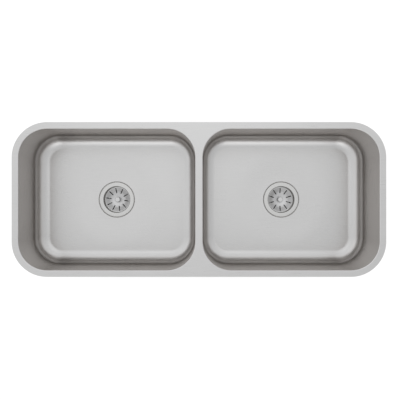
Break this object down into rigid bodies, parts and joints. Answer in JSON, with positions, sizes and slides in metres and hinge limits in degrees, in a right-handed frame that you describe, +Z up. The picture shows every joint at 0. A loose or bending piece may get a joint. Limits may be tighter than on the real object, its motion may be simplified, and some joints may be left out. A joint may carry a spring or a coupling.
{
  "type": "double bowl kitchen sink",
  "caption": "Undermount stainless steel kitchen sink with two equal rounded bowls in a flat rim, each with a lift-out basket strainer waste and a tailpiece.",
  "frame": {"origin": "centre of the rim's top face, on the strip between the bowls, where the sink meets the worktop", "axes": "+X along the two bowls, +Y to the back, +Z up out of the bowls"},
  "size_m": [1.06, 0.438, 0.374],
  "materials": {
    "sink_steel": "satin brushed",
    "waste_steel": "fine satin",
    "pad_rubber": "matt, slightly grained",
    "black_rubber": "matt",
    "pale_seal": "matt",
    "fibre": "pressed fibre",
    "zinc": "cast, dull",
    "chromed_tube": "polished",
    "catch_plastic": "moulded"
  },
  "bodies": {
    "sink": {"deck": "sink_steel", "left_bowl": "sink_steel", "left_floor_pads": "pad_rubber", "left_wall_pads": "pad_rubber", "left_strainer_cup": "waste_steel", "left_cross_bars": "waste_steel", "left_flange_seal": "pale_seal", "left_gasket": "black_rubber", "left_friction_ring": "fibre", "left_locknut": "zinc", "left_tail_washer": "pale_seal", "left_tailpiece": "chromed_tube", "left_coupling_nut": "chromed_tube", "right_bowl": "sink_steel", "right_floor_pads": "pad_rubber", "right_wall_pads": "pad_rubber", "right_strainer_cup": "waste_steel", "right_cross_bars": "waste_steel", "right_flange_seal": "pale_seal", "right_gasket": "black_rubber", "right_friction_ring": "fibre", "right_locknut": "zinc", "right_tail_washer": "pale_seal", "right_tailpiece": "chromed_tube", "right_coupling_nut": "chromed_tube"},
    "left_stopper": {"left_stopper": "black_rubber"},
    "left_basket": {"left_basket_dish": "waste_steel", "left_basket_knob": "waste_steel", "left_basket_post": "waste_steel", "left_stopper_clip": "waste_steel", "left_catch": "catch_plastic"},
    "right_stopper": {"right_stopper": "black_rubber"},
    "right_basket": {"right_basket_dish": "waste_steel", "right_basket_knob": "waste_steel", "right_basket_post": "waste_steel", "right_stopper_clip": "waste_steel", "right_catch": "catch_plastic"}
  },
  "joints": [
    {"name": "left_basket_lift", "type": "slide", "parent": "sink", "child": "left_stopper", "axis": [0, 0, 1], "range_m": [0, 0.28]},
    {"name": "left_basket_turn", "type": "hinge", "parent": "left_stopper", "child": "left_basket", "pos_m": [-0.261, 0, -0.2289], "axis": [0, 0, 1], "continuous": true},
    {"name": "right_basket_lift", "type": "slide", "parent": "sink", "child": "right_stopper", "axis": [0, 0, 1], "range_m": [0, 0.28]},
    {"name": "right_basket_turn", "type": "hinge", "parent": "right_stopper", "child": "right_basket", "pos_m": [0.261, 0, -0.2289], "axis": [0, 0, 1], "continuous": true}
  ]
}
